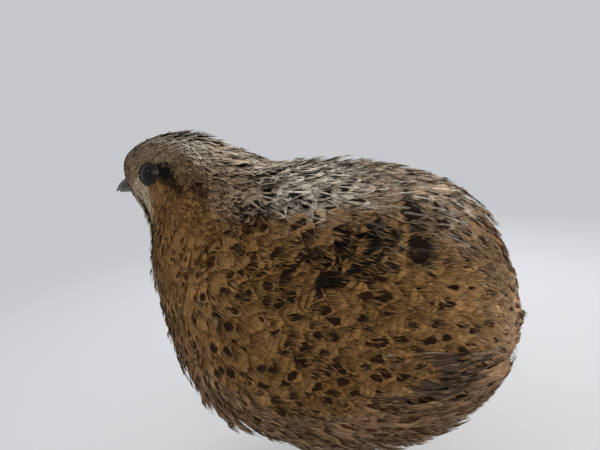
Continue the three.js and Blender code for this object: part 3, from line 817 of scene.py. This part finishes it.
def make_skin():
    """One skin over head, neck, trunk and thighs."""
    parts = [skin_part(body, coat_depth, 110, 96)]
    parts += [skin_part(shin(side), lambda t: 0.9 + 0.6 * t, 30, 32) for side, _ in SIDES]
    made = fused("skin", parts, SKIN, 1.0)
    t, phi = body_places(made.data.vertices)
    looks = plumage(t, phi, np.random.default_rng(SEED))
    for key in ("ground", "mark"):
        add_values(made, key, looks[key])
    corner, turn = unbroken(made.data, phi)
    add_uv(made, "OFBake", unwrap(t[corner], turn))
    finish_piece(made, ["torso", "neck", "head", "thigh_left", "thigh_right"])


make_skin()

# Coat

EYE_POINT, _, _, EYE_AXIS, _ = body.frame(EYE["t"], EYE["phi"])
EYE_CENTRE = EYE_POINT - EYE_AXIS * EYE["depth"]
# Half the width of the opening between the lids that feathers keep clear of.
OPENING = 3.95

# A body feather's length by places t, its half width and the gap between roots as shares of it,
# and how much lengths differ.
LENGTHS = ([0, 0.15, 0.45, 0.58, 0.66, 0.72, 0.80, 0.92, 1], [10, 11.5, 11.5, 10.5, 8.4, 6.4, 4.6, 2.7, 1.5])
WIDTHS = ([0, 0.6, 0.72, 1], [0.27, 0.26, 0.23, 0.22])
GAPS = ([0.6, 0.72], [0.35, 0.27])
LENGTH_SPREAD = 0.1

# How feathers gather in tufts: millimetres from tuft to tuft and from swirl to swirl, the rise
# of a tuft as a share of its feathers' length, and the turn of a swirl in degrees.
TUFTS = {"apart": 13.0, "swirl": 34.0, "rise": 0.055, "turn": 9.0}

# Loose barbs on each square millimetre of the coat: degrees phi, and how many.
CROWD = ([125, 145], [1.9, 1.0])


def clear_eyes(vertices):
    """Pushes what would cover an eye aside, to the rim of the lids."""
    for side, _ in SIDES:
        off = vertices * (side, 1, 1) - EYE_CENTRE
        ahead = off @ EYE_AXIS
        flat = off - ahead[:, None] * EYE_AXIS
        far = length_of(flat)
        near = (ahead > 1) & (far < OPENING)
        pushed = EYE_CENTRE + ahead[:, None] * EYE_AXIS + flat * (OPENING / np.maximum(far, 0.1))[:, None]
        vertices = np.where(near[:, None], pushed * (side, 1, 1), vertices)
    return vertices


def feather_length(t, phi):
    large = bell((t - 0.37) / 0.09, (np.abs(phi) - 50) / 16)
    return np.interp(t, *LENGTHS) * (1 + 0.25 * large)


def root_spacing(t, phi):
    return feather_length(t, phi) * np.interp(t, *GAPS)


def ripple(places, wavelength, rng):
    """A smooth wandering value over places in space, about 0 and seldom past 2."""
    value = np.zeros(len(places))
    waves = 7
    for _ in range(waves):
        way = unit(rng.standard_normal(3))
        value += np.sin(2 * np.pi * (places @ way / wavelength * rng.uniform(0.7, 1.4) + rng.random()))
    return value * math.sqrt(2 / waves)


def coat_area(t, phi):
    """The name of the piece that a body feather belongs to."""
    turn = np.abs(phi)
    side = np.where(phi > 0, "left", "right")
    head, wing, neck, breast, flank = (
        np.char.add(part, side) for part in ("head_", "wing_", "neck_", "breast_", "flank_")
    )
    front = np.where(turn < 60, "mantle", breast)
    end = np.where(turn < 90, "rump", "vent")
    first_true = [t > 0.73, wing_lift(t, phi) > 0.4, t > 0.64, t > 0.5, t < 0.17, turn < 60, turn > 128]
    return np.select(first_true, [head, wing, neck, front, end, "back", "belly"], flank)


def coat_roots(rng):
    """Roots all over the body but where the flight feathers' ends lie open."""
    t, phi = lay_rows(body, 0.0, 0.99, root_spacing, root_spacing, rng).T
    bare = (np.abs(np.abs(phi) - 90 - 130 * (t - 0.15)) < 11) & (np.abs(t - 0.205) < 0.08)
    return t[~bare], phi[~bare]


def body_coat():
    rng = np.random.default_rng(SEED + 1)
    t, phi = coat_roots(rng)
    n = len(t)
    area = coat_area(t, phi)
    looks = plumage(t, phi, rng)
    length = feather_length(t, phi) * np.exp(LENGTH_SPREAD * rng.standard_normal(n))
    half = length * np.interp(t, *WIDTHS)
    bake = unwrap(t, phi)
    places = body.point(t, phi)
    free = 1 - smoothstep(t, 0.66, 0.80)
    swirl = ripple(places, TUFTS["swirl"], rng) + 0.6 * ripple(places, TUFTS["apart"], rng)
    turn = 4 * rng.standard_normal(n) + TUFTS["turn"] * swirl * free
    tuft = np.maximum(ripple(places, TUFTS["apart"], rng), -0.8) * free * TUFTS["rise"]
    crest = 0.3 * bell((t - 0.78) / 0.06, phi / 32)
    loose = 0.12 * rng.random(n) ** np.where((np.abs(phi) < 60) & (t < 0.6), 3, 6)
    shape = dict(
        root=-0.85 * coat_depth(t) - coat_lift(t, phi),
        tip=length * (0.01 + 0.015 * rng.random(n) + crest * rng.random(n) + tuft),
        curl=length * (0.01 * rng.standard_normal(n) + loose),
        roll=(0.09 + 0.02 * rng.standard_normal(n)) * np.sign(phi),
        cup=0.08 + 0.03 * rng.random(n),
        thick=np.minimum(0.02 * length, 0.25),
    )
    for name in sorted(set(area)):
        pick = area == name
        vane = SMALL if name.startswith(("head", "neck")) else MEDIUM
        part, own = ({key: value[pick] for key, value in group.items()} for group in (shape, looks))
        frames = march(winged, t[pick], phi[pick], length[pick], turn[pick], vane)
        made = feathers("coat_" + name, vane, frames, half[pick], part, own, bake[pick], rng,
                        clear_eyes, soft=True)
        if not name.startswith("head"):
            crowd = np.interp(np.abs(phi[pick]), *CROWD) * root_spacing(t[pick], phi[pick]) ** 2
            crowd = np.round(crowd).astype(int)
            loose_barbs = wisps(crowd, vane, frames, half[pick], part, own, bake[pick], rng)
            made = joined(made, feathers("loose_" + name, WISP, *loose_barbs, rng, soft=True))
        wing = name.startswith("wing")
        finish_piece(made, [name] if wing else ())


def shin_coat():
    rng = np.random.default_rng(SEED + 2)
    for side, name in SIDES:
        leg = shin(side)
        roots = lay_rows(leg, 0.02, 1.0, lambda t, phi: 1.5 + 1.2 * t, lambda t, phi: 1.4 + 1.2 * t, rng)
        t, phi = roots.T
        n = len(t)
        length = (5 + 4 * t) * np.exp(LENGTH_SPREAD * rng.standard_normal(n))
        looks = plumage(np.full(n, 0.36), np.full(n, 168.0), rng)
        shape = dict(root=-0.8, tip=0.3 + 0.4 * rng.random(n), curl=0.3 * rng.standard_normal(n),
                     roll=0.2 * rng.standard_normal(n), cup=0.2, thick=0.12)
        frames = march(leg, t, phi, length, 8 * rng.standard_normal(n), SMALL)
        bake = unwrap(0.1 + 0.3 * t, phi)
        made = feathers("coat_shin_" + name, SMALL, frames, length * 0.24, shape, looks, bake, rng)
        finish_piece(made)


body_coat()
shin_coat()

# Flight and tail feathers

# Rows of the folded wing's long feathers, under its coverts: how many, colour, bars, places
# t, phi of the first and last root and tip, half widths, lift off the wing at root and tip.
FLIGHT_ROWS = {
    "primaries": (6, "slate", 0.25, (0.40, 100), (0.40, 112), (0.125, 83), (0.15, 98), 4.2, 4.0, -3.5, 2.2),
    "secondaries": (9, "tan", 0.7, (0.465, 60), (0.48, 103), (0.20, 66), (0.22, 101), 5.2, 5.0, -3.2, -2.2),
}

# Tiers of the tail: how many, start and length along it, half spread, half width, how far out
# of its plane, and whether they face up or down.
TAIL_TIERS = {
    "tail_long": (12, 2.0, 33.0, 12.5, 3.6, -0.6, 1),
    "tail_coverts": (9, -3.0, 30.0, 12.5, 4.6, 0.2, 1),
    "tail_upper": (9, -9.0, 25.0, 12.0, 4.8, 1.0, 1),
    "tail_under": (8, -2.0, 26.0, 9.0, 4.4, -2.2, -1),
    "tail_vent": (7, -6.0, 20.0, 8.0, 4.6, -5.5, -1),
}


def flight_looks(n, rng, ground, bars, shaft, fringe):
    tone = np.exp(0.1 * rng.standard_normal((n, 1)))
    bars = np.column_stack([np.full(n, bars), 7 + rng.random(n), rng.random(n)])
    return all_looks(n, rng, ground=PALETTE[ground] * tone, mark=PALETTE["umber"],
                     pale=PALETTE["cream"] * tone, bars=bars, line=(shaft, fringe, 0.5))


def line_frames(point, normal):
    """The frames that feathers() takes, for feather lines with known points and normals."""
    ahead = unit(np.gradient(point, axis=1))
    return point, ahead, unit(np.cross(ahead, normal)), normal


def wing_feathers():
    rng = np.random.default_rng(SEED + 3)
    for side, name in SIDES:
        for row, (n, ground, bars, root0, root1, tip0, tip1, half0, half1, low, high) in FLIGHT_ROWS.items():
            share = np.linspace(0, 1, n)[:, None]
            root = (np.array(root0) * (1 - share) + np.array(root1) * share) * (1, side)
            tip = (np.array(tip0) * (1 - share) + np.array(tip1) * share) * (1, side)
            tip = tip + rng.standard_normal((n, 2)) * (0.004, 0.6)
            step = np.linspace(0, 1, len(FLIGHT.v))[None, :, None]
            place = root[:, None] * (1 - step) + tip[:, None] * step
            point, _, _, normal, _ = winged.frame(place[..., 0], place[..., 1])
            looks = flight_looks(n, rng, ground, bars, 0.15, 0.3)
            # The uppermost feather of each row has a broad pale edge.
            looks["line"][0, 1] = 1.6
            shape = dict(root=low, tip=high + 0.25 * rng.standard_normal(n), curl=0, roll=-0.12 * side,
                         cup=0.12, thick=0.3, ease=1.3)
            half = np.linspace(half0, half1, n)
            made = feathers(f"{row}_{name}", FLIGHT, line_frames(point, normal), half, shape, looks,
                            unwrap(root[:, 0], root[:, 1]), rng)
            finish_piece(made)


def tail_feathers():
    rng = np.random.default_rng(SEED + 4)
    slope = math.radians(TAIL["slope"])
    root = np.array([0, SHIFT - TAIL["root"][0], TAIL["root"][1]])
    along = np.array([0, math.cos(slope), -math.sin(slope)])
    out = np.array([0, math.sin(slope), math.cos(slope)])
    left = np.array([1.0, 0, 0])
    for name, (n, start, length, spread, half, off, face) in TAIL_TIERS.items():
        long = name == "tail_long"
        vane = FLIGHT if long else LARGE
        side = np.linspace(-1, 1, n)
        reach = length * (1 - 0.16 * side**2) + 0.8 * rng.standard_normal(n)
        column = side[:, None]
        across = column * spread * (0.45 + 0.55 * vane.v)
        fall = 3.4 * column**2 * (0.5 + vane.v) + 0.25 * np.abs(column)
        level = off - face * fall * (1 if face > 0 else 0.3)
        point = (root + along * (start + vane.v * reach[:, None])[..., None]
                 + left * across[..., None] + out * level[..., None])
        normal = unit(out * face + left * (0.75 * column[..., None] * face) + 0 * point)
        if long:
            looks = flight_looks(n, rng, "tan", 0.6, 0.5, 0.6)
        else:
            looks = plumage(np.full(n, 0.19), np.full(n, 26.0 if face > 0 else 150.0), rng)
        shape = dict(root=-0.6, tip=0.2 + 0.5 * rng.random(n), curl=0.4 * rng.standard_normal(n),
                     roll=0.1 * rng.standard_normal(n), cup=0.15, thick=0.3)
        bake = unwrap(np.full(n, 0.1 - 0.08 * vane.v.mean()), side * 25 if face > 0 else 180 - side * 20)
        made = feathers(name, vane, line_frames(point, normal), np.full(n, half), shape, looks, bake, rng)
        finish_piece(made, ["tail"] if long else ())


wing_feathers()
tail_feathers()

# Eyes, bill and feet


def eye_plane():
    """Unit ways across and up the left eye's opening."""
    flat = unit(np.cross(EYE_AXIS, (0, 0, 1)))
    return flat, np.cross(flat, EYE_AXIS)


def make_eyes():
    flat, tall = eye_plane()
    rows, sides = 40, 48
    polar = np.linspace(0, math.pi, rows + 2)[1:-1, None, None]
    turn = circle(sides)[None, :, None]
    cornea = 1 + 0.03 * np.exp(-((polar / 0.5) ** 4))
    ball = np.cos(polar) * EYE_AXIS + np.sin(polar) * (np.cos(turn) * flat + np.sin(turn) * tall)
    ball = EYE_CENTRE + EYE["radius"] * cornea * ball
    gaze = np.concatenate(np.broadcast_arrays(np.cos(polar), turn / (2 * math.pi), 0.0), -1)
    for side, name in SIDES:
        vertices, faces = ring_mesh(ball * (side, 1, 1))
        made = new_object("eye_ball_" + name, vertices, [face[::side] for face in faces], EYE_SURFACE)
        add_values(made, "gaze", gaze.reshape(-1, 3))
        finish_piece(made, ["eye_" + name])


def make_lids():
    """A soft wrinkled rim round each eye, a little wider than tall, with a fold at each corner."""
    flat, tall = eye_plane()
    rng = np.random.default_rng(SEED + 5)
    steps, sides = 96, 14
    turn = circle(steps)
    thick = 0.3 * (1 + 0.12 * np.sin(turn * 29) + 0.08 * rng.standard_normal(steps))
    across = (3.6 + 0.3 * np.abs(np.cos(turn)) ** 3)[:, None]
    rim = np.cos(turn)[:, None] * across * flat + np.sin(turn)[:, None] * 3.3 * tall
    inward = np.sqrt(np.maximum(EYE["radius"] ** 2 - (rim**2).sum(-1), 0))
    centre = EYE_CENTRE + rim + EYE_AXIS * (inward + 0.05)[:, None]
    section = circle(sides)[None, :, None]
    ring = np.cos(section) * unit(rim)[:, None] * 1.3 + np.sin(section) * EYE_AXIS
    points = (centre[:, None] + ring * thick[:, None, None]).reshape(-1, 3)
    index = np.arange(steps * sides).reshape(steps, sides)
    faces = grid_quads(np.pad(index, ((0, 1), (0, 1)), mode="wrap"))
    for side, name in SIDES:
        made = new_object("lids_" + name, points * (side, 1, 1), faces[:, ::-side], LID)
        finish_piece(made)


make_eyes()
make_lids()

# The bill's halves from the face to the tip: f, lower and upper u, and half the width.
BILL_BASE = BODY[-1][0] + 0.3
BILL_LEAN = (BODY[-1][0] - BODY[-1][2]) / (BODY[-1][1] - BODY[-1][3])
UPPER_BILL = [
    (BILL_BASE - 2.5, 117.7, 122.2, 3.7),
    (BILL_BASE, 117.7, 121.9, 3.4),
    (66.8, 117.7, 121.3, 3.0),
    (69.7, 117.3, 120.0, 2.3),
    (72.2, 116.5, 118.3, 1.4),
    (73.7, 115.5, 116.2, 0.5),
]
LOWER_BILL = [
    (BILL_BASE - 2.5, 114.6, 117.5, 3.3),
    (BILL_BASE, 114.7, 117.5, 3.0),
    (67.0, 114.8, 117.4, 2.5),
    (69.9, 115.0, 116.9, 1.6),
    (72.1, 115.0, 116.0, 0.7),
]
# The nostril's f, s and u, its depth, and the height of the hood over it.
NOSTRIL = (65.7, 3.0, 119.8)
NOSTRIL_DEPTH = 1.1
NOSTRIL_HOOD = 0.28


def press_nostrils(points):
    for side, _ in SIDES:
        off = points - (side * NOSTRIL[1], SHIFT - NOSTRIL[0], NOSTRIL[2])
        own = off[..., 0] * side > -1.5
        pit = bell(off[..., 1] / 0.95, (off[..., 2] + 0.25 * off[..., 1]) / 0.42)
        hood = bell(off[..., 1] / 1.3, (off[..., 2] - 0.65) / 0.45)
        points[..., 0] += side * own * (NOSTRIL_HOOD * hood - NOSTRIL_DEPTH * pit)


def bill_half(name, rows, upper, material):
    rings, sides = 60, 48
    l = np.linspace(0, 1, rings)
    f, under, over, half = smooth_rows(rows, l).T
    angle = circle(sides)
    lift = np.sin(angle)[None]
    wide = np.cos(angle)[None]
    if upper:
        height = np.where(lift > 0, np.abs(lift) ** 1.25, -0.05 - 0.09 * np.abs(wide) ** 4)
        base = under
    else:
        height = np.where(lift < 0, -np.abs(lift), 0.02)
        base = over
    u = base[:, None] + (over - under)[:, None] * height
    s = half[:, None] * np.sign(wide) * np.abs(wide) ** 0.8
    lean = BILL_LEAN * (1 - l)[:, None]
    points = np.stack([s, SHIFT - (f[:, None] + lean * (u - BODY[-1][1])), u], -1)
    if upper:
        press_nostrils(points)
    made = new_object(name, *ring_mesh(points), material)
    finish_piece(made, [name.replace("horn", "bill")])


bill_half("horn_upper", UPPER_BILL, True, UPPER_HORN)
bill_half("horn_lower", LOWER_BILL, False, LOWER_HORN)

# Toes: degrees from straight ahead, length, joints, and how high they arch.
TOES = {"1": (172, 9.5, 1, 0.5), "2": (39, 17, 2, 0), "3": (2, 22.5, 3, 0), "4": (-37, 18, 4, 0)}
TOE_RADIUS = 1.3
CLAW_LENGTH = 4.0
# The leg from hock to foot: places as shares of the way, and its half widths across and along.
SHANK = ((-0.03, 2.2, 2.5), (0.25, 1.55, 1.9), (0.75, 1.45, 1.8), (1.0, 2.1, 2.0))
# The round pad under the toes' roots: half width and half height.
PAD = (3.7, 2.2)


def bar(points, radii, sides, rings, scute=0.0, pitch=1.2):
    """A round limb of changing thickness through points, with raised plates on its upper side."""
    l = np.linspace(0, 1, rings)
    centre = smooth_rows(points, l)
    rx, ry = smooth_rows(radii, l).T[..., None]
    along = unit(np.gradient(centre, axis=0))
    side = np.cross(along, (0, 0, 1.0))
    side = unit(np.where(length_of(side)[:, None] < 0.05, (1.0, 0, 0), side))
    up = np.cross(side, along)
    angle = circle(sides)
    run = np.concatenate([[0], np.cumsum(length_of(np.diff(centre, axis=0)))])
    plate = 1 + scute * ((run / pitch) % 1)[:, None] * smoothstep(np.sin(angle), 0.1, 0.5)
    ring = side[:, None] * (rx * np.cos(angle) * plate)[..., None]
    return ring_mesh(centre[:, None] + ring + up[:, None] * (ry * np.sin(angle) * plate)[..., None])


def foot_place(side, f, s, u):
    return np.array([side * (APART + s), SHIFT - (f + side * STAGGER), u])


def toe_line(side, turn, distance, height):
    a = math.radians(turn)
    return foot_place(side, FOOT + math.cos(a) * distance, -math.sin(a) * distance, height)


def foot_pad(side):
    wide, tall = PAD
    around = circle(24)
    polar = np.linspace(0.05, math.pi - 0.05, 14)[:, None]
    pad = np.stack([np.sin(polar) * np.cos(around) * wide, np.sin(polar) * np.sin(around) * wide,
                    -np.cos(polar) * tall + 0 * around], -1)
    return ring_mesh(pad + foot_place(side, FOOT, 0, tall))


def toe_and_claw(side, turn, length, joints, arch):
    """A toe swollen between its joints, and the claw at its end."""
    knots = np.linspace(0, 1, joints * 2 + 1)
    radii = [TOE_RADIUS * (1 - 0.28 * l) * (0.88 if k % 2 else 1.06) for k, l in enumerate(knots)]
    line = []
    for l, r in zip(knots, radii):
        height = r - 0.15 + (0.9 if l == 0 else 0) + arch * 4 * l * (1 - l)
        line.append(toe_line(side, turn, 1.2 + (length - 1.2) * l, height))
    end = radii[-1]
    claw = [toe_line(side, turn, length - 0.6, end - 0.1),
            toe_line(side, turn, length + CLAW_LENGTH * 0.5, end + 0.2),
            toe_line(side, turn, length + CLAW_LENGTH, 0.35)]
    claw_radii = [(end * 0.7, end * 0.78), (0.55, 0.6), (0.14, 0.14)]
    return bar(line, [(r, r) for r in radii], 18, 60, 0.12, 1.15), bar(claw, claw_radii, 16, 24)


def make_feet():
    for side, name in SIDES:
        hock = foot_place(side, HOCK[0], 0, HOCK[1])
        ankle = foot_place(side, FOOT, 0, 3.4)
        shank = [hock * (1 - k) + ankle * k for k, _, _ in SHANK]
        parts = [bar(shank, [row[1:] for row in SHANK], 24, 80, 0.10, 1.7), foot_pad(side)]
        for toe, numbers in TOES.items():
            part, claw = toe_and_claw(side, *numbers)
            parts.append(part)
            made = new_object(f"nail_{name}_{toe}", *claw, CLAW_HORN)
            finish_piece(made, [f"claw_{name}_{toe}"])
        made = fused("foot_" + name, parts, LEG, 0.28)
        finish_piece(made, ["tarsus_" + name] + [f"toe_{name}_{toe}" for toe in TOES])


make_feet()

# Camera, light and floor

# Lamps: place and size in metres, watts and colour. They all face the place AIM.
LAMPS = {
    "window": ((-0.45, 0.15, 0.60), 0.5, 4, (1.0, 0.98, 0.95)),
    "fill": ((0.8, 0.35, 0.5), 0.6, 1.5, (1.0, 0.95, 0.88)),
    "glint": ((0.50, -0.35, 0.50), 0.07, 0.25, (1, 1, 1)),
}
AIM = (0, 0, 0.07)
SKY = (0.94, 0.96, 1.0, 1)
SKY_STRENGTH = 0.6
FLOOR = (0.62, 0.63, 0.65, 1)
FLOOR_REACH = 600


def make_camera():
    azimuth, elevation, roll = (math.radians(CAMERA[k]) for k in ("azimuth", "elevation", "roll"))
    turned = Matrix.Rotation(azimuth, 4, "Z") @ Matrix.Rotation(math.pi / 2 - elevation, 4, "X")
    f, s, u = CAMERA_PLACE
    moved = Matrix.Translation(Vector((s, SHIFT - f, u)) * MM)
    data = bpy.data.cameras.new("camera")
    data.lens = CAMERA["lens"]
    data.sensor_width = 36
    data.clip_start = 0.01
    camera = bpy.data.objects.new("camera", data)
    camera.matrix_world = moved @ turned @ Matrix.Rotation(roll, 4, "Z")
    bpy.context.scene.collection.objects.link(camera)
    bpy.context.scene.camera = camera


def make_lamp(name, place, size, power, colour):
    data = bpy.data.lights.new(name, "AREA")
    data.size = size
    data.energy = power
    data.color = colour
    light = bpy.data.objects.new(name, data)
    light.location = place
    light.rotation_euler = (Vector(AIM) - Vector(place)).to_track_quat("-Z", "Y").to_euler()
    bpy.context.scene.collection.objects.link(light)


def floor_material():
    """A pale floor that fades away into the sky's own colour, so that no horizon shows."""
    g = Graph("floor", 0.9, 0.1)
    g.finish(FLOOR)
    x, y, _ = g.split(g.place())
    far = g.math("SQRT", x * x + y * y)
    shader = g.nodes["Principled BSDF"].outputs[0]
    clear = g.nodes.new("ShaderNodeBsdfTransparent").outputs[0]
    fade = {0: g.step(far, 0.12, 0.55), 1: Value(g, shader), 2: Value(g, clear)}
    faded = g.node("ShaderNodeMixShader", 0, {}, fade)
    g.feed(g.nodes["Material Output"].inputs[0], faded)
    return g.material


def make_stage():
    corners = np.array([(-1, -1, 0), (1, -1, 0), (1, 1, 0), (-1, 1, 0)]) * FLOOR_REACH
    new_object("floor", corners, [[0, 1, 2, 3]], floor_material())
    world = bpy.data.worlds.new("world")
    world.use_nodes = True
    sky = world.node_tree.nodes["Background"].inputs
    sky["Color"].default_value = SKY
    sky["Strength"].default_value = SKY_STRENGTH
    bpy.context.scene.world = world
    bpy.context.scene.view_settings.view_transform = "Standard"
    for name, numbers in LAMPS.items():
        make_lamp(name, *numbers)


make_camera()
make_stage()
